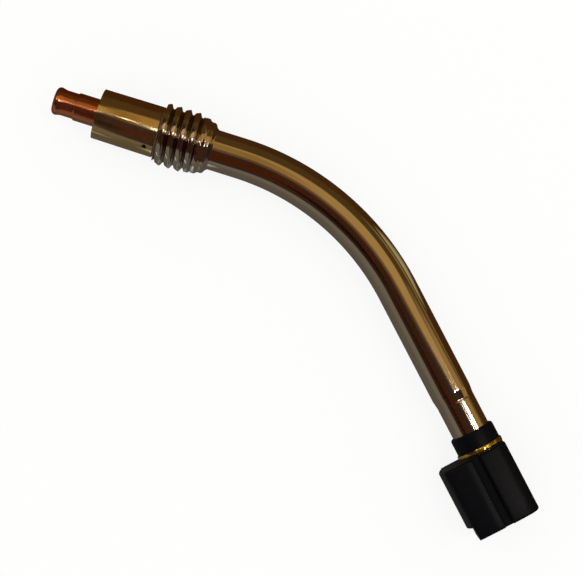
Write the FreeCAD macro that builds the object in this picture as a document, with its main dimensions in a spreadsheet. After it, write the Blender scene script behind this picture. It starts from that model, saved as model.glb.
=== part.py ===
import FreeCAD, Part
import os
import re
import math
import Sketcher

# Swan neck of a MIG welding torch, lying flat: the bend is in the XY plane and +Z points up.
# The origin is on the rear axis of the neck, in the rear face of the locating block, at the
# mouth of the socket that the torch cable screws into. +X runs along the rear straight towards
# the tip, and the neck bends towards +Y.

SIZES = {
    # Route of the neck's centre line
    "bend_start": 90.1,
    "bend_radius": 94.0,
    "bend_angle": 45.0,
    # Outer jacket tube and the swaged end that enters the block
    "jacket_radius": 7.2,
    "jacket_wall": 1.0,
    "swaged_radius": 6.85,
    "swaged_wall": 0.8,
    "swage_start": 46.3,
    "swage_length": 3.1,
    # Layers inside the jacket
    "insulation_gap": 0.1,
    "insulation_wall": 1.3,
    "conductor_radius": 4.5,
    "conductor_wall": 1.0,
    "liner_radius": 2.1,
    "liner_bore": 1.0,
    "layer_end_gap": 0.3,
    # Nozzle thread seat, measured forward from the front end of the bend
    "seat_start": 10.2,
    "seat_length": 19.5,
    "seat_socket_depth": 8.0,
    "braze_length": 1.1,
    "rear_land_length": 2.9,
    "rear_land_radius": 9.2,
    "front_land_length": 1.5,
    "front_land_radius": 10.05,
    "land_slope": 0.9,
    "thread_radius": 11.05,
    "thread_depth": 1.55,
    "thread_pitch": 3.5,
    "thread_crest": 0.4,
    "thread_root": 0.5,
    "thread_rear_flank": 1.1,
    "thread_run_in": 0.65,
    "seat_chamfer": 1.0,
    "seat_bore": 7.9,
    # Insulators of the head
    "insulator_gap": 0.05,
    "insulator_wall": 1.3,
    "insulator_web": 1.0,
    "skirt_wall": 0.6,
    "skirt_length": 6.0,
    "washer_thickness": 0.5,
    "washer_inset": 0.45,
    # Live inner head
    "head_thread": 5.0,
    "head_socket_depth": 9.4,
    "head_tube_grip": 5.6,
    "head_passage": 3.2,
    # Tip adaptor
    "adaptor_radius": 9.15,
    "adaptor_taper": 0.2,
    "adaptor_length": 22.2,
    "adaptor_chamfer": 0.3,
    "spigot_length": 8.9,
    "thread_clearance": 0.05,
    "adaptor_passage": 3.0,
    "gas_hole_radius": 0.8,
    "gas_hole_inset": 3.0,
    "gas_hole_count": 3.0,
    "gas_hole_turn": -45.0,
    # Contact tip
    "tip_radius": 5.0,
    "tip_reach": 16.1,
    "tip_recess": 4.3,
    "tip_thread": 4.0,
    "tip_thread_length": 10.0,
    "tip_wire_hole": 0.6,
    "tip_waist": 0.42,
    "tip_waist_length": 3.6,
    "tip_waist_step": 0.6,
    "tip_flare": 2.0,
    "tip_lip": 1.6,
    "tip_nose": 1.1,
    # Nose of the liner, inside the adaptor
    "nose_length": 3.5,
    "nose_wall": 0.6,
    "nose_gap": 0.2,
    # Locating block
    "block_length": 26.7,
    "block_back": 8.5,
    "block_nose": 17.0,
    "block_half_height": 11.6,
    "block_nose_round": 31.0,
    "block_nose_corner": 1.4,
    "block_corner": 4.5,
    "block_edge": 0.9,
    "notch_length": 5.0,
    "notch_face": 15.0,
    "groove_width": 3.2,
    "groove_depth": 2.3,
    "groove_offset": 3.5,
    # Bores of the block
    "pocket_radius": 7.3,
    "pocket_depth": 6.0,
    "flange_seat": 14.0,
    "fit_clearance": 0.05,
    # Rear plug
    "plug_radius": 5.0,
    "plug_flange_radius": 5.8,
    "plug_flange_length": 2.3,
    "plug_shank_radius": 5.4,
    "plug_shank_length": 6.7,
    "cable_thread": 3.35,
    "cable_thread_length": 10.0,
    "plug_passage": 2.65,
    "plug_mouth_chamfer": 0.4,
    # Nipple on the rear end of the liner
    "nipple_length": 4.0,
    "nipple_wall": 0.4,
    # Ring nut and its washer
    "nut_radius": 7.0,
    "nut_thickness": 4.4,
    "nut_chamfer": 0.4,
    "nut_slot_width": 2.0,
    "nut_slot_depth": 1.1,
    "nut_slot_count": 4.0,
    "spring_washer_thickness": 0.5,
    "spring_washer_radius": 6.9,
    "turning_gap": 0.06,
    # Pin that keys the block to the plug
    "key_pin_radius": 1.0,
    "key_pin_depth": 1.1,
    "key_pin_place": 11.6,
    # Rings in front of the block
    "brass_ring_radius": 8.5,
    "brass_ring_width": 1.8,
    "brass_ring_edge": 0.25,
    "collar_radius": 8.05,
    "collar_width": 6.2,
    "collar_edge": 0.9,
}

doc = FreeCAD.newDocument("SwanNeck")
sheet = doc.addObject("Spreadsheet::Sheet", "Size")
for row, (alias, size) in enumerate(SIZES.items(), start=1):
    sheet.set("A%d" % row, alias)
    sheet.set("B%d" % row, str(size))
    sheet.setAlias("B%d" % row, alias)
doc.recompute()


def of_sizes(text):
    """Expression on the sheet, from plain words such as 'seat_start + seat_length'."""
    def cell(word):
        return "Size." + word.group() if word.group() in SIZES else word.group()
    return re.sub("[a-z_]+", cell, text)


def worked_out(text):
    """Present value of an expression, from a spare cell of the sheet."""
    sheet.set("F1", "=" + text)
    sheet.recompute()
    value = float(sheet.get("F1"))
    sheet.clear("F1")
    return value


# Places along the front axis, from the front end of the bend
SEAT_FRONT = "seat_start + seat_length"
SEAT_FLOOR = "seat_start + seat_socket_depth"
WEB_START = SEAT_FLOOR + " + layer_end_gap"
WEB_END = WEB_START + " + insulator_web"
SKIRT_START = WEB_START + " - skirt_length"
ADAPTOR_REAR = SEAT_FRONT + " + washer_thickness"
ADAPTOR_FRONT = ADAPTOR_REAR + " + adaptor_length"
TIP_SHOULDER = ADAPTOR_FRONT + " - tip_recess"
TIP_REAR = TIP_SHOULDER + " - tip_thread_length"
TIP_FRONT = ADAPTOR_FRONT + " + tip_reach"
HEAD_REAR = SKIRT_START + " + layer_end_gap"
CONDUCTOR_FRONT = HEAD_REAR + " + head_tube_grip"
LINER_FRONT = TIP_REAR + " - nose_gap"

# Radii that one piece takes from the next
JACKET_BORE = "swaged_radius - swaged_wall"
INSULATION_RADIUS = JACKET_BORE + " - insulation_gap"
SKIRT_RADIUS = "jacket_radius - jacket_wall - insulation_gap"
SKIRT_BORE = SKIRT_RADIUS + " - skirt_wall"
SLEEVE_RADIUS = "seat_bore - insulator_gap"
SLEEVE_BORE = SLEEVE_RADIUS + " - insulator_wall"
CONDUCTOR_BORE = "conductor_radius - conductor_wall"

# Places along the rear axis, from the rear face of the block
JACKET_SOCKET = "flange_seat + plug_flange_length + layer_end_gap"
JACKET_REAR = JACKET_SOCKET + " + layer_end_gap"
PLUG_FRONT = "flange_seat + plug_flange_length + plug_shank_length"
CONDUCTOR_REAR = "flange_seat + plug_flange_length"
NIPPLE_REAR = "cable_thread_length + layer_end_gap"
RING_FRONT = "block_length + brass_ring_width"


def origin_plane(body, role):
    for item in body.Origin.OriginFeatures:
        if item.Role == role:
            return item
    raise ValueError("no plane " + role)


def new_body(name, on_front_axis=False):
    """Body on the rear axis, or carried to the front end of the bend and turned along it."""
    body = doc.addObject("PartDesign::Body", name)
    body.Label = name
    if on_front_axis:
        up = FreeCAD.Vector(0, 0, 1)
        body.Placement = FreeCAD.Placement(FreeCAD.Vector(), FreeCAD.Rotation(up, SIZES["bend_angle"]))
        body.setExpression("Placement.Rotation.Angle", of_sizes("bend_angle * 1deg"))
        along = "bend_start + bend_radius * sin( bend_angle * 1deg )"
        aside = "bend_radius * ( 1 - cos( bend_angle * 1deg ) )"
        body.setExpression("Placement.Base.x", of_sizes(along))
        body.setExpression("Placement.Base.y", of_sizes(aside))
    return body


def new_sketch(body, name, role="XY_Plane"):
    sketch = body.newObject("Sketcher::SketchObject", name)
    sketch.AttachmentSupport = [(origin_plane(body, role), "")]
    sketch.MapMode = "FlatFace"
    return sketch


def fix(sketch, kind, edge, end, text, first=1.0):
    """Hold one coordinate of a sketch point at an expression, measured from the origin."""
    if text == "0":
        axis = -2 if kind == "DistanceX" else -1
        sketch.addConstraint(Sketcher.Constraint("PointOnObject", edge, end, axis))
        return
    number = sketch.addConstraint(Sketcher.Constraint(kind, -1, 1, edge, end, first))
    sketch.setExpression("Constraints[%d]" % number, of_sizes(text))


def outline(body, name, corners, role="XY_Plane"):
    """Closed outline of straight edges, each corner held at its own pair of expressions."""
    sketch = new_sketch(body, name, role)
    count = len(corners)
    start = []
    for corner in range(count):
        angle = 2 * math.pi * corner / count
        start.append(FreeCAD.Vector(30 + 20 * math.cos(angle), 30 + 20 * math.sin(angle), 0))
    for corner in range(count):
        sketch.addGeometry(Part.LineSegment(start[corner], start[(corner + 1) % count]), False)
    for corner in range(count):
        sketch.addConstraint(Sketcher.Constraint("Coincident", corner, 2, (corner + 1) % count, 1))
    for corner, (across, up) in enumerate(corners):
        fix(sketch, "DistanceX", corner, 1, across)
        fix(sketch, "DistanceY", corner, 1, up)
    return sketch


def turned(body, name, corners, kind="PartDesign::Revolution"):
    """Solid, or cut, of revolution about the body's own X axis; corners are (place, radius)."""
    sketch = outline(body, name + "_outline", corners)
    feature = body.newObject(kind, name)
    feature.Profile = sketch
    feature.ReferenceAxis = (sketch, ["H_Axis"])
    feature.Angle = 360.0
    doc.recompute()
    return feature


def must_cut(body, before, name):
    if body.Shape.Volume > before - 1e-3:
        raise ValueError(name + " removed nothing")


def ring_corners(start, end, bore, radius):
    return [(start, bore), (end, bore), (end, radius), (start, radius)]


def circle_in(sketch, radius, x_text="0", y_text="0"):
    """Circle of an expression's radius, centred at two expressions."""
    number = sketch.addGeometry(Part.Circle(FreeCAD.Vector(0, 0, 0), FreeCAD.Vector(0, 0, 1), 2.0), False)
    size = sketch.addConstraint(Sketcher.Constraint("Radius", number, 2.0))
    sketch.setExpression("Constraints[%d]" % size, of_sizes(radius))
    fix(sketch, "DistanceX", number, 3, x_text)
    fix(sketch, "DistanceY", number, 3, y_text)


def neck_tube(body, name, start, end, radius, bore):
    """Tube along the neck from a place on the rear axis to one on the front axis. The route is
    drawn at its real places from the start, so that its constraints move nothing."""
    bend_start = SIZES["bend_start"]
    bend_radius = SIZES["bend_radius"]
    angle = math.radians(SIZES["bend_angle"])
    centre = FreeCAD.Vector(bend_start, bend_radius, 0)
    bend_end = centre + FreeCAD.Vector(math.sin(angle), -math.cos(angle), 0) * bend_radius
    ahead = FreeCAD.Vector(math.cos(angle), math.sin(angle), 0)
    route = new_sketch(body, name + "_route")
    begin = FreeCAD.Vector(worked_out(start), 0, 0)
    reach = worked_out(end)
    route.addGeometry(Part.LineSegment(begin, FreeCAD.Vector(bend_start, 0, 0)), False)
    bend = Part.Circle(centre, FreeCAD.Vector(0, 0, 1), bend_radius)
    route.addGeometry(Part.ArcOfCircle(bend, -math.pi / 2, -math.pi / 2 + angle), False)
    route.addGeometry(Part.LineSegment(bend_end, bend_end + ahead * reach), False)
    route.addConstraint(Sketcher.Constraint("Tangent", 0, 2, 1, 1))
    route.addConstraint(Sketcher.Constraint("Tangent", 1, 2, 2, 1))
    fix(route, "DistanceX", 0, 1, start, begin.x)
    fix(route, "DistanceY", 0, 1, "0")
    fix(route, "DistanceX", 0, 2, "bend_start", bend_start)
    fix(route, "DistanceY", 0, 2, "0")
    sizes = (("Radius", (1,), bend_radius, "bend_radius"),
             ("Angle", (2,), angle, "bend_angle * 1deg"),
             ("Distance", (2,), reach, end))
    for kind, edges, first, text in sizes:
        number = route.addConstraint(Sketcher.Constraint(kind, *edges, first))
        route.setExpression("Constraints[%d]" % number, of_sizes(text))
    section = new_sketch(body, name + "_section", "YZ_Plane")
    section.setExpression("AttachmentOffset.Base.z", of_sizes(start))
    circle_in(section, radius)
    circle_in(section, bore)
    pipe = body.newObject("PartDesign::AdditivePipe", name)
    pipe.Profile = section
    pipe.Spine = (route, ["Edge1", "Edge2", "Edge3"])
    doc.recompute()


def repeat_round(body, feature, count):
    """Copies of a feature spaced evenly round the body's X axis."""
    copies = body.newObject("PartDesign::PolarPattern", feature.Name + "_round")
    copies.Originals = [feature]
    copies.Axis = (origin_plane(body, "X_Axis"), [""])
    copies.Angle = 360.0
    copies.setExpression("Occurrences", of_sizes(count))
    body.Tip = copies
    doc.recompute()


def contact_tip():
    """Copper tip: a threaded shank, a plain body, a turned waist and a lip with a rounded nose."""
    body = new_body("contact_tip", on_front_axis=True)
    neck = "tip_radius - tip_waist"
    lip = TIP_FRONT + " - tip_lip"
    waist = lip + " - tip_flare - tip_waist_length"
    turned(body, "tip_solid", [
        (TIP_REAR, "tip_wire_hole"),
        (TIP_FRONT, "tip_wire_hole"),
        (TIP_FRONT, "tip_radius - tip_nose"),
        (TIP_FRONT + " - tip_nose * 0.25", "tip_radius - tip_nose * 0.5"),
        (TIP_FRONT + " - tip_nose * 0.65", "tip_radius - tip_nose * 0.15"),
        (TIP_FRONT + " - tip_nose", "tip_radius"),
        (lip, "tip_radius"),
        (lip + " - tip_flare * 0.5", "tip_radius - tip_waist * 0.7"),
        (lip + " - tip_flare", neck),
        (waist, neck),
        (waist + " - tip_waist_step", "tip_radius"),
        (TIP_SHOULDER, "tip_radius"),
        (TIP_SHOULDER, "tip_thread - thread_clearance"),
        (TIP_REAR, "tip_thread - thread_clearance")])


def tip_adaptor():
    body = new_body("tip_adaptor", on_front_axis=True)
    turned(body, "adaptor_solid", [
        (ADAPTOR_REAR + " - spigot_length", "adaptor_passage"),
        (TIP_REAR, "adaptor_passage"),
        (TIP_REAR, "tip_thread"),
        (TIP_SHOULDER, "tip_thread"),
        (TIP_SHOULDER, "tip_radius + 2 * thread_clearance"),
        (ADAPTOR_FRONT, "tip_radius + 2 * thread_clearance"),
        (ADAPTOR_FRONT, "adaptor_radius - adaptor_taper - adaptor_chamfer"),
        (ADAPTOR_FRONT + " - adaptor_chamfer", "adaptor_radius - adaptor_taper"),
        (ADAPTOR_REAR + " + adaptor_chamfer", "adaptor_radius"),
        (ADAPTOR_REAR, "adaptor_radius - adaptor_chamfer"),
        (ADAPTOR_REAR, "head_thread - thread_clearance"),
        (ADAPTOR_REAR + " - spigot_length", "head_thread - thread_clearance")])
    # Gas holes from the passage to the outside, the first one turned from the top to the
    # inner side of the bend
    before = body.Shape.Volume
    sketch = new_sketch(body, "gas_hole_sketch")
    down = FreeCAD.Rotation(FreeCAD.Vector(1, 0, 0), SIZES["gas_hole_turn"])
    sketch.AttachmentOffset = FreeCAD.Placement(FreeCAD.Vector(), down)
    sketch.setExpression("AttachmentOffset.Rotation.Angle", of_sizes("gas_hole_turn * 1deg"))
    circle_in(sketch, "gas_hole_radius", ADAPTOR_REAR + " + gas_hole_inset")
    hole = body.newObject("PartDesign::Pocket", "gas_hole")
    hole.Profile = sketch
    hole.Reversed = True
    hole.setExpression("Length", of_sizes("adaptor_radius + 1"))
    doc.recompute()
    must_cut(body, before, "gas_hole")
    repeat_round(body, hole, "gas_hole_count")


def insulating_washer():
    body = new_body("insulating_washer", on_front_axis=True)
    turned(body, "washer_solid", ring_corners(SEAT_FRONT, ADAPTOR_REAR, SLEEVE_BORE,
                                              "adaptor_radius - washer_inset"))


def inner_head():
    body = new_body("inner_head", on_front_axis=True)
    outer = SLEEVE_BORE + " - insulator_gap"
    neck = SKIRT_BORE + " - insulator_gap"
    step = WEB_END + " + insulator_gap"
    turned(body, "head_solid", [
        (HEAD_REAR, "conductor_radius"),
        (CONDUCTOR_FRONT, "conductor_radius"),
        (CONDUCTOR_FRONT, "head_passage"),
        (ADAPTOR_REAR + " - head_socket_depth", "head_passage"),
        (ADAPTOR_REAR + " - head_socket_depth", "head_thread"),
        (ADAPTOR_REAR, "head_thread"),
        (ADAPTOR_REAR, outer),
        (step, outer),
        (step, neck),
        (HEAD_REAR, neck)])


def head_insulator():
    body = new_body("head_insulator", on_front_axis=True)
    turned(body, "insulator_solid", [
        (SKIRT_START, SKIRT_BORE),
        (WEB_END, SKIRT_BORE),
        (WEB_END, SLEEVE_BORE),
        (SEAT_FRONT, SLEEVE_BORE),
        (SEAT_FRONT, SLEEVE_RADIUS),
        (WEB_START, SLEEVE_RADIUS),
        (WEB_START, SKIRT_RADIUS),
        (SKIRT_START, SKIRT_RADIUS)])


def nozzle_thread_seat():
    """Plated sleeve with the coarse outside thread that the gas nozzle screws onto."""
    body = new_body("nozzle_thread_seat", on_front_axis=True)
    rear_land = "seat_start + braze_length"
    front_land = rear_land + " + rear_land_length"
    land_end = front_land + " + front_land_length"
    root = "thread_radius - thread_depth"
    rise = "( rear_land_radius - jacket_radius )"
    turned(body, "seat_solid", [
        ("seat_start", "jacket_radius"),
        (SEAT_FLOOR, "jacket_radius"),
        (SEAT_FLOOR, "seat_bore"),
        (SEAT_FRONT, "seat_bore"),
        (SEAT_FRONT, root),
        (land_end, root),
        (land_end + " - thread_root", "front_land_radius"),
        (front_land, "front_land_radius"),
        (front_land + " - land_slope", "rear_land_radius"),
        (rear_land + " + braze_length * 0.6", "rear_land_radius"),
        (rear_land, "rear_land_radius - " + rise + " * 0.25"),
        (rear_land + " - braze_length * 0.2", "rear_land_radius - " + rise + " * 0.6"),
        (rear_land + " - braze_length * 0.5", "rear_land_radius - " + rise + " * 0.85"),
        ("seat_start", "rear_land_radius - " + rise + " * 0.93")])
    # One helical ridge on the root cylinder, which starts against the front land
    crest = land_end + " - thread_run_in + thread_rear_flank"
    tooth = outline(body, "thread_tooth", [
        (crest + " - thread_rear_flank", root + " - thread_crest"),
        (crest + " - thread_rear_flank + thread_pitch - thread_root", root + " - thread_crest"),
        (crest + " + thread_crest", "thread_radius"),
        (crest, "thread_radius")])
    helix = body.newObject("PartDesign::AdditiveHelix", "seat_thread")
    helix.Profile = tooth
    helix.ReferenceAxis = (tooth, ["H_Axis"])
    helix.Mode = 0
    helix.setExpression("Pitch", of_sizes("thread_pitch"))
    reach = SEAT_FRONT + " - ( " + crest + " ) + thread_pitch * 0.35"
    helix.setExpression("Height", of_sizes(reach))
    doc.recompute()
    # The thread ends in the seat's front face, with its corner taken off
    before = body.Shape.Volume
    beyond = SEAT_FRONT + " + 2 * thread_pitch"
    turned(body, "seat_face", [
        (SEAT_FRONT, "0"),
        (beyond, "0"),
        (beyond, "thread_radius + thread_depth"),
        (SEAT_FRONT + " - seat_chamfer - thread_depth", "thread_radius + thread_depth"),
        (SEAT_FRONT, "thread_radius - seat_chamfer")], "PartDesign::Groove")
    must_cut(body, before, "seat_face")


def jacket_tube():
    body = new_body("jacket_tube")
    swage_end = "swage_start + swage_length"
    turned(body, "swaged_end", [
        (JACKET_REAR, JACKET_BORE),
        ("swage_start", JACKET_BORE),
        (swage_end, "jacket_radius - jacket_wall"),
        (swage_end, "jacket_radius"),
        ("swage_start", "swaged_radius"),
        (JACKET_REAR, "swaged_radius")])
    neck_tube(body, "jacket", swage_end, SEAT_FLOOR, "jacket_radius", "jacket_radius - jacket_wall")


def straight_layer(name, start, end, radius, bore):
    body = new_body(name)
    neck_tube(body, name + "_pipe", start, end, radius, bore)


def fitted_ring(name, start, end, bore, radius, on_front_axis=False):
    body = new_body(name, on_front_axis)
    turned(body, name + "_solid", ring_corners(start, end, bore, radius))


def collar_ring():
    body = new_body("collar_ring")
    front = RING_FRONT + " + collar_width"
    turned(body, "collar_solid", [
        (RING_FRONT, "swaged_radius + fit_clearance"),
        (front, "swaged_radius + fit_clearance"),
        (front, "collar_radius - collar_edge"),
        (front + " - collar_edge * 0.3", "collar_radius - collar_edge * 0.3"),
        (front + " - collar_edge", "collar_radius"),
        (RING_FRONT, "collar_radius")])


def brass_ring():
    body = new_body("brass_ring")
    turned(body, "brass_ring_solid", [
        ("block_length", "swaged_radius"),
        (RING_FRONT, "swaged_radius"),
        (RING_FRONT, "brass_ring_radius - brass_ring_edge"),
        (RING_FRONT + " - brass_ring_edge", "brass_ring_radius"),
        ("block_length + brass_ring_edge", "brass_ring_radius"),
        ("block_length", "brass_ring_radius - brass_ring_edge")])


def locating_block():
    """Moulded block with a bowed nose on the bend's inner side and a flat back on its outer side."""
    body = new_body("locating_block")
    sketch = new_sketch(body, "block_outline", "YZ_Plane")
    back = -SIZES["block_back"]
    high = SIZES["block_half_height"]
    bow = SIZES["block_nose_round"]
    centre = SIZES["block_nose"] - bow
    tilt = math.asin(high / bow)
    near = centre + bow * math.cos(tilt)
    nose = Part.Circle(FreeCAD.Vector(centre, 0, 0), FreeCAD.Vector(0, 0, 1), bow)
    edges = [
        Part.LineSegment(FreeCAD.Vector(near, high, 0), FreeCAD.Vector(back, high, 0)),
        Part.LineSegment(FreeCAD.Vector(back, high, 0), FreeCAD.Vector(back, -high, 0)),
        Part.LineSegment(FreeCAD.Vector(back, -high, 0), FreeCAD.Vector(near, -high, 0)),
        Part.ArcOfCircle(nose, -tilt, tilt)]
    for edge in edges:
        sketch.addGeometry(edge, False)
    for number in range(len(edges)):
        sketch.addConstraint(Sketcher.Constraint("Coincident", number, 2, (number + 1) % len(edges), 1))
    fix(sketch, "DistanceY", 0, 1, "block_half_height")
    fix(sketch, "DistanceX", 0, 2, "0 - block_back")
    fix(sketch, "DistanceY", 0, 2, "block_half_height")
    fix(sketch, "DistanceX", 1, 2, "0 - block_back")
    fix(sketch, "DistanceY", 1, 2, "0 - block_half_height")
    fix(sketch, "DistanceY", 2, 2, "0 - block_half_height")
    fix(sketch, "DistanceX", 3, 3, "block_nose - block_nose_round")
    fix(sketch, "DistanceY", 3, 3, "0")
    number = sketch.addConstraint(Sketcher.Constraint("Radius", 3, bow))
    sketch.setExpression("Constraints[%d]" % number, of_sizes("block_nose_round"))
    feature = body.newObject("PartDesign::Pad", "block_pad")
    feature.Profile = sketch
    feature.setExpression("Length", of_sizes("block_length"))
    doc.recompute()
    # Rounded over in turn: the long back corners, the long nose corners, then both ends
    rounds = (("back_corners", "block_corner", lambda box: box.XLength > 1 and box.YMax < 0),
              ("nose_corners", "block_nose_corner", lambda box: box.XLength > 1 and box.YMin > 0),
              ("block_edges", "block_edge", lambda box: box.XLength < 1e-6))
    for name, size, chosen in rounds:
        picked = []
        for number, edge in enumerate(feature.Shape.Edges, start=1):
            if chosen(edge.BoundBox):
                picked.append("Edge%d" % number)
        round_over = body.newObject("PartDesign::Fillet", name)
        round_over.Base = (feature, picked)
        round_over.setExpression("Radius", of_sizes(size))
        doc.recompute()
        feature = round_over
    before = body.Shape.Volume
    notch = outline(body, "notch_outline", [
        ("0", "notch_face"),
        ("notch_length", "notch_face"),
        ("notch_length", "block_nose + 1"),
        ("0", "block_nose + 1")])
    cut = body.newObject("PartDesign::Pocket", "nose_notch")
    cut.Profile = notch
    cut.Midplane = True
    cut.setExpression("Length", of_sizes("block_half_height * 2 + 2"))
    doc.recompute()
    must_cut(body, before, "nose_notch")
    for name, side in (("top_groove", 1), ("low_groove", -1)):
        before = body.Shape.Volume
        near = "%d * ( block_half_height - groove_depth )" % side
        far = "%d * ( block_half_height + 2 )" % side
        groove = outline(body, name + "_outline", [
            ("groove_offset - groove_width / 2", near),
            ("groove_offset + groove_width / 2", near),
            ("groove_offset + groove_width / 2", far),
            ("groove_offset - groove_width / 2", far)], "YZ_Plane")
        cut = body.newObject("PartDesign::Pocket", name)
        cut.Profile = groove
        cut.Reversed = True
        cut.setExpression("Length", of_sizes("block_length"))
        doc.recompute()
        must_cut(body, before, name)
    before = body.Shape.Volume
    turned(body, "block_bore", [
        ("0", "0"),
        ("block_length", "0"),
        ("block_length", "swaged_radius + fit_clearance"),
        (JACKET_SOCKET, "swaged_radius + fit_clearance"),
        (JACKET_SOCKET, "plug_flange_radius + fit_clearance"),
        ("flange_seat", "plug_flange_radius + fit_clearance"),
        ("flange_seat", "plug_radius + fit_clearance"),
        ("pocket_depth", "plug_radius + fit_clearance"),
        ("pocket_depth", "pocket_radius"),
        ("0", "pocket_radius")], "PartDesign::Groove")
    must_cut(body, before, "block_bore")
    # The sketch on this plane faces the flat back, so the hole runs out through it
    before = body.Shape.Volume
    sketch = new_sketch(body, "block_pin_sketch", "XZ_Plane")
    circle_in(sketch, "key_pin_radius + fit_clearance", "key_pin_place")
    hole = body.newObject("PartDesign::Pocket", "block_pin_hole")
    hole.Profile = sketch
    hole.Reversed = True
    hole.setExpression("Length", of_sizes("block_back + 1"))
    doc.recompute()
    must_cut(body, before, "block_pin_hole")


def rear_plug():
    """Brass plug that carries current, gas and wire from the cable into the conductor tube."""
    body = new_body("rear_plug")
    flange_front = "flange_seat + plug_flange_length"
    turned(body, "plug_solid", [
        ("0", "cable_thread + plug_mouth_chamfer"),
        ("plug_mouth_chamfer", "cable_thread"),
        ("cable_thread_length", "cable_thread"),
        ("cable_thread_length", "plug_passage"),
        (CONDUCTOR_REAR, "plug_passage"),
        (CONDUCTOR_REAR, "conductor_radius"),
        (PLUG_FRONT, "conductor_radius"),
        (PLUG_FRONT, "plug_shank_radius"),
        (flange_front, "plug_shank_radius"),
        (flange_front, "plug_flange_radius"),
        ("flange_seat", "plug_flange_radius"),
        ("flange_seat", "plug_radius"),
        ("0", "plug_radius")])
    before = body.Shape.Volume
    sketch = new_sketch(body, "plug_pin_sketch", "XZ_Plane")
    sketch.setExpression("AttachmentOffset.Base.z", of_sizes("plug_radius - key_pin_depth"))
    circle_in(sketch, "key_pin_radius + fit_clearance", "key_pin_place")
    blind = body.newObject("PartDesign::Pocket", "plug_pin_hole")
    blind.Profile = sketch
    blind.Reversed = True
    blind.setExpression("Length", of_sizes("key_pin_depth + 1"))
    doc.recompute()
    must_cut(body, before, "plug_pin_hole")


def ring_nut():
    """Round nut with slots in its rim, which clamps the block against the plug's flange."""
    body = new_body("ring_nut")
    front = "pocket_depth - spring_washer_thickness - turning_gap"
    rear = front + " - nut_thickness"
    turned(body, "nut_solid", [
        (rear, "plug_radius + turning_gap"),
        (front, "plug_radius + turning_gap"),
        (front, "nut_radius"),
        (rear + " + nut_chamfer", "nut_radius"),
        (rear, "nut_radius - nut_chamfer")])
    before = body.Shape.Volume
    slot = outline(body, "nut_slot_outline", [
        (rear + " - 1", "nut_radius - nut_slot_depth"),
        (front + " + 1", "nut_radius - nut_slot_depth"),
        (front + " + 1", "nut_radius + 1"),
        (rear + " - 1", "nut_radius + 1")])
    cut = body.newObject("PartDesign::Pocket", "nut_slot")
    cut.Profile = slot
    cut.Midplane = True
    cut.setExpression("Length", of_sizes("nut_slot_width"))
    doc.recompute()
    must_cut(body, before, "nut_slot")
    repeat_round(body, cut, "nut_slot_count")


def key_pin():
    """Steel dowel through the flat back of the block into the plug."""
    body = new_body("key_pin")
    sketch = new_sketch(body, "pin_sketch", "XZ_Plane")
    sketch.setExpression("AttachmentOffset.Base.z", of_sizes("plug_radius - key_pin_depth"))
    circle_in(sketch, "key_pin_radius", "key_pin_place")
    pad = body.newObject("PartDesign::Pad", "pin_pad")
    pad.Profile = sketch
    pad.setExpression("Length", of_sizes("block_back - plug_radius + key_pin_depth - layer_end_gap"))
    doc.recompute()


contact_tip()
tip_adaptor()
insulating_washer()
inner_head()
head_insulator()
nozzle_thread_seat()
jacket_tube()
straight_layer("jacket_insulation", PLUG_FRONT + " + layer_end_gap", SKIRT_START + " - layer_end_gap",
               INSULATION_RADIUS, INSULATION_RADIUS + " - insulation_wall")
straight_layer("conductor_tube", CONDUCTOR_REAR, CONDUCTOR_FRONT, "conductor_radius", CONDUCTOR_BORE)
straight_layer("wire_liner", NIPPLE_REAR, LINER_FRONT, "liner_radius", "liner_bore")
fitted_ring("liner_nose", LINER_FRONT + " - nose_length", LINER_FRONT, "liner_radius",
            "liner_radius + nose_wall", on_front_axis=True)
fitted_ring("liner_nipple", NIPPLE_REAR, NIPPLE_REAR + " + nipple_length", "liner_radius",
            "liner_radius + nipple_wall")
fitted_ring("rear_insulator", JACKET_SOCKET, PLUG_FRONT, "plug_shank_radius + insulator_gap",
            JACKET_BORE + " - insulator_gap")
collar_ring()
brass_ring()
locating_block()
rear_plug()
ring_nut()
fitted_ring("spring_washer", "pocket_depth - spring_washer_thickness", "pocket_depth",
            "plug_radius + turning_gap", "spring_washer_radius")
key_pin()

doc.recompute()
for item in doc.Objects:
    bad = [state for state in item.State if state in ("Invalid", "Error")]
    if bad:
        raise ValueError("%s is %s" % (item.Label, bad))
bodies = [item for item in doc.Objects if item.TypeId == "PartDesign::Body"]
for body in bodies:
    if body.Shape.isNull() or not body.Shape.isValid() or len(body.Shape.Solids) != 1:
        raise ValueError(body.Label + " has no valid single solid")

os.makedirs("parts", exist_ok=True)
for body in bodies:
    body.Shape.exportStep("parts/%s.step" % body.Label)
    box = body.Shape.BoundBox
    print("%-20s %8.1f mm3  X %.2f..%.2f  Y %.2f..%.2f  Z %.2f..%.2f" % (
        body.Label, body.Shape.Volume, box.XMin, box.XMax, box.YMin, box.YMax, box.ZMin, box.ZMax))
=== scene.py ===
import math
import bmesh
import bpy
from mathutils import Matrix, Vector


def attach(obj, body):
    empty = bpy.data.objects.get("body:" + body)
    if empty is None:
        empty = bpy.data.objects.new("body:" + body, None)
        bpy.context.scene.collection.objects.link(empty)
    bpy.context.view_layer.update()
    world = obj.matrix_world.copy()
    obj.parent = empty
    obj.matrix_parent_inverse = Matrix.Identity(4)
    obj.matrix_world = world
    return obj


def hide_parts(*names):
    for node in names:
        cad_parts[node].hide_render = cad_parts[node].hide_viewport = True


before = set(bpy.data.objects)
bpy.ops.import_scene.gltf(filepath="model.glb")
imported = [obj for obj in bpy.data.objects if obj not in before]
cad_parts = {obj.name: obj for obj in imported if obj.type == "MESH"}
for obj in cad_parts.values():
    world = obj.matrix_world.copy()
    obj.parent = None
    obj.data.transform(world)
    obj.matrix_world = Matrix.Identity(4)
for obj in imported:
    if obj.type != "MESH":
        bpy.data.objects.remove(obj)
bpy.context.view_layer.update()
scene = bpy.context.scene

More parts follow.
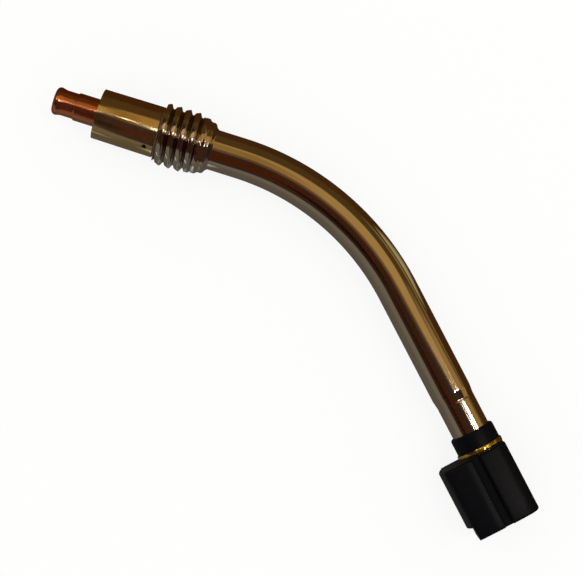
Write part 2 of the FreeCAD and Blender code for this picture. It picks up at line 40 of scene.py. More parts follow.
# The camera: straight above the neck, as the photograph is taken, turned so that the tip
# points to the upper left. The neck's plane is 2.85 pixels to the millimetre.
CAMERA_SPOT = (0.10800, 0.03270, 0.850)
CAMERA_RIGHT = (-0.46175, -0.88701, 0.0)
CAMERA_UP = (0.88701, -0.46175, 0.0)
PIXELS_PER_METRE = 2850.0
PHOTO_WIDTH = 583.0
SENSOR = 36.0
right = Vector(CAMERA_RIGHT)
up = Vector(CAMERA_UP)
turn = Matrix((right, up, right.cross(up))).transposed().to_4x4()
camera_data = bpy.data.cameras.new("camera")
camera_data.sensor_width = SENSOR
camera_data.lens = SENSOR * CAMERA_SPOT[2] * PIXELS_PER_METRE / PHOTO_WIDTH
camera_data.clip_start = 0.01
camera = bpy.data.objects.new("camera", camera_data)
camera.matrix_world = Matrix.Translation(CAMERA_SPOT) @ turn
scene.collection.objects.link(camera)
scene.camera = camera

# The table: white seamless paper that the neck lies on. It is matt and pale, and the camera sees
# it lit evenly to white, with only a faint trace of the shadow under the neck. The polished parts
# mirror a painted version of it: grey with painted shade within the bend, a painted brown
# reflection beyond it, and three pale glows that are painted pools of light.
PAPER_LEVEL = -0.0118
PAPER_HALF = 4.0
PAPER = "F0EEEB"
PAPER_LIT = 0.86
# Painted shade: the paper as the polished parts see it, darker grey than it is
PAPER_SHADE_IN_REFLECTIONS = "68635A"
# Painted reflection: a brown that the polished parts see beyond the front axis's line
BROWN_PAINTED_IN_REFLECTIONS = "4A2F15"
BROWN_REFLECTION_EDGE = 0.004
FRONT_AXIS_PAST_ORIGIN = 0.0912
# Painted light: pale ovals on the paper that only the polished parts see
PAINTED_POOLS_OF_LIGHT = (
    # name, middle in metres, degrees turned, half length and width, full and gone at, colour
    ("strip_of_light", 0.1030, -0.0860, 0, 0.024, 0.062, 0.8, 1.15, "B4A67C"),
    ("near_glow", 0.1198, 0.0898, 45, 0.007, 0.050, 0.5, 1.3, "D4DCE4"),
    ("far_glow", 0.1460, 0.1900, 0, 0.014, 0.065, 0.5, 1.2, "D4DCE4"),
)


def linear(text):
    """Linear colour, with alpha, of an sRGB hex value."""
    channels = [int(text[place:place + 2], 16) / 255 for place in (0, 2, 4)]
    return [c / 12.92 if c <= 0.04045 else ((c + 0.055) / 1.055) ** 2.4 for c in channels] + [1.0]


def add_node(tree, kind, settings=None, links=None):
    """Node with its fields and sockets set, and other nodes' outputs linked to its sockets."""
    node = tree.nodes.new(kind)
    for name, value in (settings or {}).items():
        if isinstance(name, int) or name in node.inputs:
            node.inputs[name].default_value = value
        else:
            setattr(node, name, value)
    for name, output in (links or {}).items():
        tree.links.new(output, node.inputs[name])
    return node


def new_material(name):
    """Material with an empty node tree, and that tree."""
    material = bpy.data.materials.new(name)
    material.use_nodes = True
    material.node_tree.nodes.clear()
    return material, material.node_tree


paper, tree = new_material("seamless_paper")
place = add_node(tree, "ShaderNodeTexCoord")
fibres = add_node(tree, "ShaderNodeTexNoise", {"Scale": 900.0, "Detail": 3.0},
                  {"Vector": place.outputs["Object"]})
tooth = add_node(tree, "ShaderNodeBump", {"Strength": 0.05, "Distance": 0.0002},
                 {"Height": fibres.outputs["Fac"]})
parts = add_node(tree, "ShaderNodeSeparateXYZ", {}, {"Vector": place.outputs["Object"]})
lean = add_node(tree, "ShaderNodeMath", {"operation": "SUBTRACT"},
                {0: parts.outputs["Y"], 1: parts.outputs["X"]})
across = add_node(tree, "ShaderNodeMath",
                  {"operation": "MULTIPLY_ADD", 1: math.sqrt(0.5), 2: FRONT_AXIS_PAST_ORIGIN},
                  {0: lean.outputs[0]})
inner = add_node(tree, "ShaderNodeMath", {"operation": "MINIMUM"},
                 {0: parts.outputs["Y"], 1: across.outputs[0]})
side = add_node(tree, "ShaderNodeMapRange", {"From Min": -BROWN_REFLECTION_EDGE, "From Max": BROWN_REFLECTION_EDGE},
                {"Value": inner.outputs[0]})
# Painted reflection: what glossy rays see of the paper, grey with painted shade, brown beyond the
# front axis's line, with the painted pools of light laid on top
painted_reflection = add_node(tree, "ShaderNodeMix",
                 {"data_type": "RGBA", 6: linear(BROWN_PAINTED_IN_REFLECTIONS), 7: linear(PAPER_SHADE_IN_REFLECTIONS)},
                 {0: side.outputs[0]}).outputs[2]
for name, x, y, turned_by, length, width, full, gone, tint in PAINTED_POOLS_OF_LIGHT:
    oval = add_node(tree, "ShaderNodeMapping",
                    {"vector_type": "TEXTURE", "label": name, "Location": (x, y, PAPER_LEVEL),
                     "Rotation": (0, 0, math.radians(turned_by)), "Scale": (length, width, 1.0)},
                    {"Vector": place.outputs["Object"]})
    off = add_node(tree, "ShaderNodeVectorMath", {"operation": "LENGTH"}, {0: oval.outputs[0]})
    part = add_node(tree, "ShaderNodeMapRange", {"From Min": gone, "From Max": full},
                    {"Value": off.outputs["Value"]})
    painted_reflection = add_node(tree, "ShaderNodeMix", {"data_type": "RGBA", 7: linear(tint)},
                     {0: part.outputs[0], 6: painted_reflection}).outputs[2]
ray = add_node(tree, "ShaderNodeLightPath")
lit = add_node(tree, "ShaderNodeBsdfDiffuse", {}, {"Color": painted_reflection, "Normal": tooth.outputs[0]})
pale = add_node(tree, "ShaderNodeBsdfDiffuse", {"Color": linear(PAPER)},
                {"Normal": tooth.outputs[0]})
white = add_node(tree, "ShaderNodeEmission", {"Color": (1, 1, 1, 1), "Strength": 1.0})
seen = add_node(tree, "ShaderNodeMixShader", {0: PAPER_LIT},
                {1: pale.outputs[0], 2: white.outputs[0]})
mirrored = add_node(tree, "ShaderNodeMixShader", {},
                    {0: ray.outputs["Is Glossy Ray"], 1: pale.outputs[0], 2: lit.outputs[0]})
choice = add_node(tree, "ShaderNodeMixShader", {},
                  {0: ray.outputs["Is Camera Ray"], 1: mirrored.outputs[0], 2: seen.outputs[0]})
add_node(tree, "ShaderNodeOutputMaterial", {}, {"Surface": choice.outputs[0]})

sheet = bmesh.new()
bmesh.ops.create_grid(sheet, x_segments=2, y_segments=2, size=PAPER_HALF)
bmesh.ops.translate(sheet, verts=sheet.verts, vec=(0, 0, PAPER_LEVEL))
paper_mesh = bpy.data.meshes.new("paper")
sheet.to_mesh(paper_mesh)
sheet.free()
paper_mesh.materials.append(paper)
floor = bpy.data.objects.new("paper", paper_mesh)
scene.collection.objects.link(floor)

# The light: a strip lamp behind the neck's outer side draws the white streak on the tube, one
# over the head the line of light on the adaptor, and two far ones the sparks on the thread and
# the tip. The polished parts mirror a dim warm room with a tan wall and a pale lower wall.
ROOM_DARK = "3A2519"
ROOM_FILL = 1.0
REAR_AXIS = Vector((1, 0, 0))
FRONT_AXIS = Vector((math.sqrt(0.5), math.sqrt(0.5), 0))
LAMPS = (
    # name, place in metres, looks at, lies along, length, width, watts, colour
    ("key_strip", (-0.0220, -0.431, 0.558), (0.040, 0.0, 0.007), REAR_AXIS,
     0.018, 0.17, 0.2, "FFF8F0"),
    ("head_strip", (0.3066, 0.0098, 0.609), (0.186, 0.057, 0.009), FRONT_AXIS,
     0.036, 0.020, 0.055, "FFF6E4"),
    ("thread_lamp", (1.459, 0.814, 2.012), (0.174, 0.045, 0.010), FRONT_AXIS,
     0.20, 0.25, 1.3, "FFF6F0"),
    ("lip_lamp", (-0.350, -0.775, 2.290), (0.2045, 0.0755, 0.005), FRONT_AXIS,
     0.15, 0.40, 5.0, "FFF6F0"),
)
for name, spot, aim, along, length, width, power, tint in LAMPS:
    light = bpy.data.lights.new(name, "AREA")
    light.shape = "RECTANGLE"
    light.size = length
    light.size_y = width
    light.energy = power
    light.color = linear(tint)[:3]
    lamp = bpy.data.objects.new(name, light)
    away = (Vector(spot) - Vector(aim)).normalized()
    along = (along - away * along.dot(away)).normalized()
    facing = Matrix((along, away.cross(along), away)).transposed().to_4x4()
    lamp.matrix_world = Matrix.Translation(spot) @ facing
    scene.collection.objects.link(lamp)

# What the polished parts mirror, patch upon patch: degrees from straight up, degrees from the
# photograph's up towards its right, the patch's half width, its soft edge, and its colour
ROOM_PATCHES = (
    ("brown_corner", 94.0, 35.0, 64.0, 6.0, "5A421C"),
    ("tan_door", 70.0, 112.0, 44.0, 1.0, "B08C54"),
    ("ceiling_glow", 6.0, 10.0, 10.0, 5.0, "75522E"),
    ("tan_wall_right", 27.5, 62.0, 19.5, 6.5, "C09C5A"),
    ("tan_wall_middle", 34.0, 44.0, 17.0, 5.0, "C09C5A"),
    ("tan_wall_left", 29.0, 16.0, 17.0, 3.0, "BC9858"),
    ("tan_wall_far", 27.0, 352.0, 16.0, 3.0, "A28042"),
    ("tan_wall_ahead", 42.0, 313.0, 17.0, 3.0, "D2B684"),
    ("light_sill", 88.0, 57.0, 9.0, 4.0, "90804F"),
    ("rear_gloom", 62.0, 152.0, 60.0, 1.5, "3A2B24"),
    ("brown_cupboard", 35.0, 200.0, 21.0, 3.0, "4C2208"),
    ("dark_beam", 42.0, 225.0, 9.0, 4.0, "1A0F08"),
    ("pale_wall", 150.0, 249.0, 89.0, 2.5, "7E766A"),
    ("brown_doorway", 62.0, 275.0, 24.0, 3.0, "3A1C10"),
)
room = bpy.data.worlds.new("studio_room")
scene.world = room
room.use_nodes = True
tree = room.node_tree
tree.nodes.clear()
place = add_node(tree, "ShaderNodeTexCoord")
around = None
for name, down, round_up, half, soft, tint in ROOM_PATCHES:
    spread = math.sin(math.radians(down))
    turned_right = math.radians(round_up)
    toward = up * (spread * math.cos(turned_right)) + right * (spread * math.sin(turned_right))
    toward.z = math.cos(math.radians(down))
    near = add_node(tree, "ShaderNodeVectorMath", {"operation": "DOT_PRODUCT", 1: toward},
                    {0: place.outputs["Generated"]})
    edge = add_node(tree, "ShaderNodeMapRange",
                    {"interpolation_type": "SMOOTHSTEP",
                     "From Min": math.cos(math.radians(half + soft)),
                     "From Max": math.cos(math.radians(max(half - soft, 0.0)))},
                    {"Value": near.outputs["Value"]})
    patch = add_node(tree, "ShaderNodeMix",
                     {"data_type": "RGBA", "label": name, 6: linear(ROOM_DARK), 7: linear(tint)},
                     {0: edge.outputs[0]})
    if around:
        tree.links.new(around, patch.inputs[6])
    around = patch.outputs[2]
ray = add_node(tree, "ShaderNodeLightPath")
dim = add_node(tree, "ShaderNodeBackground", {"Strength": 1.0}, {"Color": around})
fill = add_node(tree, "ShaderNodeBackground", {"Color": (1, 1, 1, 1), "Strength": ROOM_FILL})
back = add_node(tree, "ShaderNodeBackground", {"Color": (1, 1, 1, 1), "Strength": 1.0})
mirrored = add_node(tree, "ShaderNodeMixShader", {},
                    {0: ray.outputs["Is Glossy Ray"], 1: fill.outputs[0], 2: dim.outputs[0]})
shown = add_node(tree, "ShaderNodeMixShader", {},
                 {0: ray.outputs["Is Camera Ray"], 1: mirrored.outputs[0], 2: back.outputs[0]})
add_node(tree, "ShaderNodeOutputWorld", {}, {"Surface": shown.outputs[0]})
scene.view_settings.view_transform = "Standard"

# The jacket tube: drawn steel, bent once, its rear end swaged thinner, then nickel plated and
# polished. It runs from the block to the socket of the nozzle seat, which is brazed onto it.
BEND_START = 90.1
BEND_RADIUS = 94.0
BEND_ANGLE = math.radians(45)
BEND_STEPS = 96
TUBE_RADIUS = 7.2
TUBE_STATIONS = ((16.9, 6.85), (45.6, 6.85), (46.15, 6.85), (46.35, 6.82), (46.55, 6.85),
                 (49.1, 7.14), (49.35, 7.18), (49.6, TUBE_RADIUS), (50.2, TUBE_RADIUS),
                 (BEND_START, TUBE_RADIUS))
TUBE_FRONT = 18.2
TUBE_WALL = 0.8
TUBE_SEGMENTS = 160
HEAD_ORIGIN = (0.156568, 0.027532, 0)
NICKEL = "D3C9BC"
NICKEL_DEEP = "C6BAAB"
ROOT_DARK_BROWN = "4A4036"


def polished_nickel(name, dark_roots):
    """Nickel plate, buffed: a near mirror, with the lengthwise lines of the drawn tube under the
    plate, and on the thread the roots mixed unevenly towards a darker brown. The drawing lines
    are about 1 mm apart, as on the real tube."""
    material, tree = new_material(name)
    place = add_node(tree, "ShaderNodeTexCoord")
    waves = add_node(tree, "ShaderNodeTexNoise", {"Scale": 90.0, "Detail": 2.0, "Roughness": 0.4},
                     {"Vector": place.outputs["Object"]})
    specks = add_node(tree, "ShaderNodeTexNoise",
                      {"Scale": 2400.0, "Detail": 3.0, "Roughness": 0.6},
                      {"Vector": place.outputs["Object"]})
    tone = add_node(tree, "ShaderNodeMix",
                    {"data_type": "RGBA", 6: linear(NICKEL_DEEP), 7: linear(NICKEL)},
                    {0: waves.outputs["Fac"]})
    gloss = add_node(tree, "ShaderNodeMapRange", {"To Min": 0.03, "To Max": 0.11},
                     {"Value": specks.outputs["Fac"]})
    # On the thread, from its start forward, the roots below 10.2 mm radius, fully at 9.6 mm, are
    # mixed unevenly towards a darker brown
    if dark_roots:
        local = add_node(tree, "ShaderNodeMapping",
                         {"vector_type": "TEXTURE", "Location": HEAD_ORIGIN,
                          "Rotation": (0, 0, BEND_ANGLE)}, {"Vector": place.outputs["Object"]})
        spoke = add_node(tree, "ShaderNodeVectorMath", {"operation": "MULTIPLY", 1: (0, 1, 1)},
                         {0: local.outputs[0]})
        depth = add_node(tree, "ShaderNodeVectorMath", {"operation": "LENGTH"},
                         {0: spoke.outputs[0]})
        ahead = add_node(tree, "ShaderNodeSeparateXYZ", {}, {"Vector": local.outputs[0]})
        started = add_node(tree, "ShaderNodeMapRange", {"From Min": 0.0152, "From Max": 0.0162},
                           {"Value": ahead.outputs["X"]})
        in_root = add_node(tree, "ShaderNodeMapRange", {"From Min": 0.0102, "From Max": 0.0096},
                        {"Value": depth.outputs["Value"]})
        uneven = add_node(tree, "ShaderNodeMapRange", {"To Min": 0.6, "To Max": 1.0},
                        {"Value": specks.outputs["Fac"]})
        rooted = add_node(tree, "ShaderNodeMath", {"operation": "MULTIPLY"},
                          {0: in_root.outputs[0], 1: started.outputs[0]})
        patchy = add_node(tree, "ShaderNodeMath", {"operation": "MULTIPLY"},
                          {0: rooted.outputs[0], 1: uneven.outputs[0]})
        shade = add_node(tree, "ShaderNodeMix", {"data_type": "RGBA", 7: linear(ROOT_DARK_BROWN)},
                         {0: patchy.outputs[0], 6: tone.outputs[2]}).outputs[2]
        bumped = add_node(tree, "ShaderNodeBump", {"Strength": 0.4, "Distance": 0.00001},
                          {"Height": specks.outputs["Fac"]})
    else:
        unbent = add_node(tree, "ShaderNodeAttribute", {"attribute_name": "unbent"})
        drawn = add_node(tree, "ShaderNodeMapping", {"Scale": (9.0, 900.0, 900.0)},
                         {"Vector": unbent.outputs["Vector"]})
        lines = add_node(tree, "ShaderNodeTexNoise",
                         {"Scale": 1.0, "Detail": 3.0, "Roughness": 0.55},
                         {"Vector": drawn.outputs[0]})
        shade = tone.outputs[2]
        bumped = add_node(tree, "ShaderNodeBump", {"Strength": 1.0, "Distance": 0.000009},
                          {"Height": lines.outputs["Fac"]})
    shader = add_node(tree, "ShaderNodeBsdfPrincipled", {"Metallic": 1.0},
                      {"Base Color": shade, "Roughness": gloss.outputs[0],
                       "Normal": bumped.outputs[0]})
    add_node(tree, "ShaderNodeOutputMaterial", {}, {"Surface": shader.outputs[0]})
    return material


def fresh(result, kind, where="geom"):
    """The vertices, edges or faces among what an operator made."""
    return [item for item in result[where] if isinstance(item, kind)]


def carry_ring(mesh, edges, along, radius):
    """Extrudes a ring about the X axis to another place and radius, and gives the new ring."""
    grown = bmesh.ops.extrude_edge_only(mesh, edges=edges)
    verts = fresh(grown, bmesh.types.BMVert)
    for vert in verts:
        out = Vector((0, vert.co.y, vert.co.z)).normalized() * radius
        vert.co = (along, out.y, out.z)
    return [edge for edge in fresh(grown, bmesh.types.BMEdge)
            if all(vert in verts for vert in edge.verts)]


def make_piece(mesh, name, body, material, nodes, place=None, sharp=32.0):
    """Object from a bmesh in millimetres, at its place in metres, riding on a body. Edges
    sharper than so many degrees stay crisp."""
    metres = (place or Matrix()) @ Matrix.Diagonal((0.001, 0.001, 0.001, 1.0))
    bmesh.ops.transform(mesh, matrix=metres, verts=mesh.verts)
    data = bpy.data.meshes.new(name)
    mesh.to_mesh(data)
    mesh.free()
    data.polygons.foreach_set("use_smooth", [True] * len(data.polygons))
    data.set_sharp_from_angle(angle=math.radians(sharp))
    data.materials.append(material)
    piece = bpy.data.objects.new(name, data)
    scene.collection.objects.link(piece)
    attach(piece, body)
    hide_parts(*nodes)
    return piece


nickel = polished_nickel("polished_nickel_plate", False)
tube = bmesh.new()
start, radius = TUBE_STATIONS[0]
stand = Matrix.Translation((start, 0, 0)) @ Matrix.Rotation(math.pi / 2, 4, "Y")
bmesh.ops.create_circle(tube, segments=TUBE_SEGMENTS, radius=radius, matrix=stand)
rim = list(tube.edges)
for along, radius in TUBE_STATIONS[1:]:
    rim = carry_ring(tube, rim, along, radius)
rim_points = list(dict.fromkeys(vert for edge in rim for vert in edge.verts))
bent = bmesh.ops.spin(tube, geom=rim_points + rim, cent=(BEND_START, BEND_RADIUS, 0),
                      axis=(0, 0, 1), angle=BEND_ANGLE, steps=BEND_STEPS, use_merge=False)
grown = bmesh.ops.extrude_edge_only(tube, edges=fresh(bent, bmesh.types.BMEdge, "geom_last"))
bmesh.ops.translate(tube, verts=fresh(grown, bmesh.types.BMVert), vec=FRONT_AXIS * TUBE_FRONT)
bmesh.ops.remove_doubles(tube, verts=tube.verts, dist=0.001)
bmesh.ops.recalc_face_normals(tube, faces=tube.faces)
bmesh.ops.solidify(tube, geom=list(tube.faces), thickness=TUBE_WALL)
tube_piece = make_piece(tube, "jacket_tube_plated", "neck", nickel, ["jacket_tube"])
# The place that each point had before the tube was bent, for the drawing lines
straight = []
start, radius = BEND_START / 1000, BEND_RADIUS / 1000
for vert in tube_piece.data.vertices:
    x, y, z = vert.co
    angle = min(max(math.atan2(x - start, radius - y), 0.0), BEND_ANGLE)
    off = Vector((x - start - radius * math.sin(angle), y - radius * (1 - math.cos(angle))))
    along = off.x * math.cos(angle) + off.y * math.sin(angle)
    across = off.y * math.cos(angle) - off.x * math.sin(angle)
    straight += [along + angle * radius, across, z]
unbent = tube_piece.data.attributes.new("unbent", "FLOAT_VECTOR", "POINT")
unbent.data.foreach_set("vector", straight)

# The nozzle seat: a turned brass sleeve, plated like the tube and brazed on its front end. Its
# coarse one-start thread takes the gas nozzle, and two plain lands close it at the rear.
HEAD_PLACE = Matrix.Translation(HEAD_ORIGIN) @ Matrix.Rotation(BEND_ANGLE, 4, "Z")
THREAD_PITCH = 3.5
THREAD_RADIUS = 11.05
THREAD_TURNS = 6
THREAD_TOOTH = ((-1.1, 9.5), (-0.3, 10.95), (-0.1, 11.05), (1.4, 10.45), (1.9, 9.5), (2.4, 9.5))
THREAD_FIRST_CREST = 12.95
THREAD_STEPS = 120
THREAD_START = 15.8
THREAD_ROUNDING = 0.16
SEAT_FRONT = 29.7
SEAT_FACE_RADIUS = 10.5
SEAT_PROFILE = ((15.8, 9.75), (15.55, 9.99), (15.4, 10.05), (14.3, 10.05), (14.1, 9.98),
                (13.5, 9.42), (13.2, 9.24), (12.9, 9.2), (12.1, 9.2), (11.8, 9.12),
                (11.45, 8.85), (11.2, 8.5), (10.95, 8.0), (10.7, 7.68), (10.4, 7.46),
                (10.2, 7.38), (10.2, 7.22), (18.2, 7.22), (18.2, 7.9))
SEAT_BORE = 7.9


def threaded(tooth, first, pitch, turns, steps, crest, start, start_radius, end, end_radius,
             rounding=0.0):
    """Open threaded surface about the X axis, cut square at both ends, where its crests run down
    at 45 degrees. Gives the mesh and its rear and front rings."""
    mesh = bmesh.new()
    points = [mesh.verts.new((first + along, radius, 0)) for along, radius in tooth]
    wires = [mesh.edges.new(pair) for pair in zip(points, points[1:])]
    bmesh.ops.spin(mesh, geom=points + wires, axis=(1, 0, 0), cent=(0, 0, 0),
                   dvec=(pitch / steps, 0, 0), angle=math.tau * turns, steps=steps * turns,
                   use_merge=False)
    bmesh.ops.remove_doubles(mesh, verts=mesh.verts, dist=0.002)
    if rounding:
        folds = [edge for edge in mesh.edges
                 if len(edge.link_faces) == 2 and edge.calc_face_angle() > 0.5]
        bmesh.ops.bevel(mesh, geom=folds, offset=rounding, segments=2, profile=0.5,
                        affect="EDGES", material=-1)
    for vert in mesh.verts:
        radius = math.hypot(vert.co.y, vert.co.z)
        limit = min(crest, start_radius + max(vert.co.x - start, 0.0),
                    end_radius + max(end - vert.co.x, 0.0))
        if radius > limit:
            vert.co.y *= limit / radius
            vert.co.z *= limit / radius
    rings = []
    for place, outward in ((start, -1), (end, 1)):
        cut = bmesh.ops.bisect_plane(mesh, geom=mesh.verts[:] + mesh.edges[:] + mesh.faces[:],
                                     dist=0.0005, plane_co=(place, 0, 0),
                                     plane_no=(outward, 0, 0), clear_outer=True)
        rings.append(fresh(cut, bmesh.types.BMEdge, "geom_cut"))
    return mesh, [edge for edge in rings[0] if edge.is_valid], rings[1]


seat, rear_ring, front_ring = threaded(
    THREAD_TOOTH, first=THREAD_FIRST_CREST, pitch=THREAD_PITCH, turns=THREAD_TURNS,
    steps=THREAD_STEPS, crest=THREAD_RADIUS, start=THREAD_START, start_radius=SEAT_PROFILE[0][1],
    end=SEAT_FRONT, end_radius=SEAT_FACE_RADIUS, rounding=THREAD_ROUNDING)
for along, radius in SEAT_PROFILE:
    rear_ring = carry_ring(seat, rear_ring, along, radius)
front_ring = carry_ring(seat, front_ring, SEAT_FRONT, SEAT_BORE)
bmesh.ops.bridge_loops(seat, edges=rear_ring + front_ring)
bmesh.ops.remove_doubles(seat, verts=seat.verts, dist=0.0005)
bmesh.ops.recalc_face_normals(seat, faces=seat.faces)
plated_thread = polished_nickel("plated_thread", True)
make_piece(seat, "nozzle_seat_threaded", "neck", plated_thread, ["nozzle_thread_seat"],
           HEAD_PLACE, 30.0)

# The tip adaptor: turned from brass rod and left plain, with a satin skin from the lathe. It
# screws into the live head, carries the tip in its front and lets the gas out of three holes.
ADAPTOR_BORE = ((21.3, 3.0), (38.1, 3.0), (38.1, 4.0), (48.1, 4.0))
ADAPTOR_SKIN = ((29.7, 4.4), (30.2, 4.4), (30.2, 8.98), (30.26, 9.1), (30.38, 9.15),
                (52.1, 8.95), (52.32, 8.87), (52.4, 8.65), (52.4, 5.3), (52.2, 5.1),
                (48.1, 5.1))
M10_TOOTH = ((-0.45, 4.42), (-0.06, 4.95), (0.06, 4.95), (0.45, 4.42), (0.55, 4.42))
SMALL_THREAD_STEPS = 48
GAS_HOLES = 3
GAS_HOLE_PLACE = 33.2
GAS_HOLE_RADIUS = 0.8
GAS_HOLE_TURN = math.radians(-45)
BRASS = "DAC398"
BRASS_DARK = "BFA979"


def turned_metal(name, light, dark, low, high, origin=(0, 0, 0), angle=0.0):
    """Metal cut on the lathe: rings round the axis, which spread the light lengthwise and leave it
    sharp across, and cloudy tarnish. The rings are 0.5 mm apart here, coarser than the real
    0.1 mm, so that they show in the line of light."""
    material, tree = new_material(name)
    place = add_node(tree, "ShaderNodeTexCoord")
    local = add_node(tree, "ShaderNodeMapping",
                     {"vector_type": "TEXTURE", "Location": origin, "Rotation": (0, 0, angle)},
                     {"Vector": place.outputs["Object"]})
    stretch = add_node(tree, "ShaderNodeMapping", {"Scale": (2200.0, 120.0, 120.0)},
                       {"Vector": local.outputs[0]})
    rings = add_node(tree, "ShaderNodeTexNoise", {"Scale": 1.0, "Detail": 2.0},
                     {"Vector": stretch.outputs[0]})
    bloom = add_node(tree, "ShaderNodeTexNoise",
                     {"Scale": 420.0, "Detail": 6.0, "Roughness": 0.65},
                     {"Vector": place.outputs["Object"]})
    tone = add_node(tree, "ShaderNodeMix",
                    {"data_type": "RGBA", 6: linear(dark), 7: linear(light)},
                    {0: bloom.outputs["Fac"]})
    gloss = add_node(tree, "ShaderNodeMapRange", {"To Min": low, "To Max": high},
                     {"Value": bloom.outputs["Fac"]})
    cut = add_node(tree, "ShaderNodeBump", {"Strength": 1.0, "Distance": 0.000006},
                   {"Height": rings.outputs["Fac"]})
    facing = add_node(tree, "ShaderNodeNewGeometry")
    around = add_node(tree, "ShaderNodeVectorMath",
                      {"operation": "CROSS_PRODUCT", 1: (math.cos(angle), math.sin(angle), 0.0)},
                      {0: facing.outputs["Normal"]})
    shader = add_node(tree, "ShaderNodeBsdfPrincipled",
                      {"Metallic": 1.0, "Anisotropic": 0.85, "Anisotropic Rotation": 0.25},
                      {"Base Color": tone.outputs[2], "Roughness": gloss.outputs[0],
                       "Normal": cut.outputs[0], "Tangent": around.outputs[0]})
    add_node(tree, "ShaderNodeOutputMaterial", {}, {"Surface": shader.outputs[0]})
    return material


def turned(profile, segments, closed=True):
    """Turned solid: an outline of (place, radius) in millimetres, spun about the X axis."""
    mesh = bmesh.new()
    points = [mesh.verts.new((along, radius, 0)) for along, radius in profile]
    pairs = list(zip(points, points[1:])) + ([(points[-1], points[0])] if closed else [])
    wires = [mesh.edges.new(pair) for pair in pairs]
    bmesh.ops.spin(mesh, geom=points + wires, axis=(1, 0, 0), cent=(0, 0, 0), angle=math.tau,
                   steps=segments, use_merge=True)
    bmesh.ops.remove_doubles(mesh, verts=mesh.verts, dist=0.0005)
    bmesh.ops.recalc_face_normals(mesh, faces=mesh.faces)
    return mesh


def cut_away(mesh, cutter):
    """The first mesh with the second one's space taken out of it."""
    holders = []
    for number, shape in enumerate((mesh, cutter)):
        data = bpy.data.meshes.new("cut_%d" % number)
        shape.to_mesh(data)
        shape.free()
        holders.append(bpy.data.objects.new("cut_%d" % number, data))
        scene.collection.objects.link(holders[-1])
    boolean = holders[0].modifiers.new("cut", "BOOLEAN")
    boolean.object = holders[1]
    boolean.operation = "DIFFERENCE"
    boolean.solver = "EXACT"
    held = holders[0].evaluated_get(bpy.context.evaluated_depsgraph_get())
    result = bmesh.new()
    result.from_mesh(held.to_mesh())
    held.to_mesh_clear()
    for holder in holders:
        data = holder.data
        bpy.data.objects.remove(holder)
        bpy.data.meshes.remove(data)
    return result


satin_brass = turned_metal("turned_satin_brass", BRASS, BRASS_DARK, 0.12, 0.2, HEAD_ORIGIN,
                           BEND_ANGLE)
adaptor, rear_ring, front_ring = threaded(
    M10_TOOTH, first=20.0, pitch=1.0, turns=12, steps=SMALL_THREAD_STEPS, crest=4.95, start=21.3,
    start_radius=4.4, end=29.7, end_radius=4.4)
for along, radius in ADAPTOR_BORE:
    rear_ring = carry_ring(adaptor, rear_ring, along, radius)
for along, radius in ADAPTOR_SKIN:
    front_ring = carry_ring(adaptor, front_ring, along, radius)
bmesh.ops.bridge_loops(adaptor, edges=rear_ring + front_ring)
bmesh.ops.remove_doubles(adaptor, verts=adaptor.verts, dist=0.0005)
bmesh.ops.recalc_face_normals(adaptor, faces=adaptor.faces)
drills = bmesh.new()
for number in range(GAS_HOLES):
    spoke = Matrix.Rotation(GAS_HOLE_TURN + math.tau * number / GAS_HOLES, 4, "X")
    stand = spoke @ Matrix.Translation((GAS_HOLE_PLACE, 0, 6.5))
    bmesh.ops.create_cone(drills, cap_ends=True, segments=24, radius1=GAS_HOLE_RADIUS,
                          radius2=GAS_HOLE_RADIUS, depth=9.0, matrix=stand)
adaptor = cut_away(adaptor, drills)
make_piece(adaptor, "tip_adaptor_turned", "adaptor", satin_brass, ["tip_adaptor"],
           HEAD_PLACE, 30.0)

# The insulating washer: a thin disc of pressed fibre between the adaptor and the plated seat.
# Only its edge shows, as a dark line round the joint.
WASHER_PROFILE = ((29.7, 6.6), (30.2, 6.6), (30.2, 8.64), (30.14, 8.7), (29.76, 8.7),
                  (29.7, 8.64))
FIBRE = "7A5C3C"
FIBRE_DARK = "5E452C"


def plain_solid(name, light, dark, low, high, scale, bump, shine=0.5):
    """Moulded or pressed material with the soft mottle and fine tooth of its surface."""
    material, tree = new_material(name)
    place = add_node(tree, "ShaderNodeTexCoord")
    mottle = add_node(tree, "ShaderNodeTexNoise",
                      {"Scale": scale, "Detail": 6.0, "Roughness": 0.65},
                      {"Vector": place.outputs["Object"]})
    tone = add_node(tree, "ShaderNodeMix",
                    {"data_type": "RGBA", 6: linear(dark), 7: linear(light)},
                    {0: mottle.outputs["Fac"]})
    gloss = add_node(tree, "ShaderNodeMapRange", {"To Min": low, "To Max": high},
                     {"Value": mottle.outputs["Fac"]})
    grain = add_node(tree, "ShaderNodeBump", {"Strength": bump, "Distance": 0.00005},
                     {"Height": mottle.outputs["Fac"]})
    shader = add_node(tree, "ShaderNodeBsdfPrincipled", {"IOR": 1.5, "Specular IOR Level": shine},
                      {"Base Color": tone.outputs[2], "Roughness": gloss.outputs[0],
                       "Normal": grain.outputs[0]})
    add_node(tree, "ShaderNodeOutputMaterial", {}, {"Surface": shader.outputs[0]})
    return material


fibre = plain_solid("pressed_fibre", FIBRE, FIBRE_DARK, 0.6, 0.8, scale=1500.0, bump=0.3)
make_piece(turned(WASHER_PROFILE, 96), "insulating_washer_disc", "neck", fibre,
           ["insulating_washer"], HEAD_PLACE)

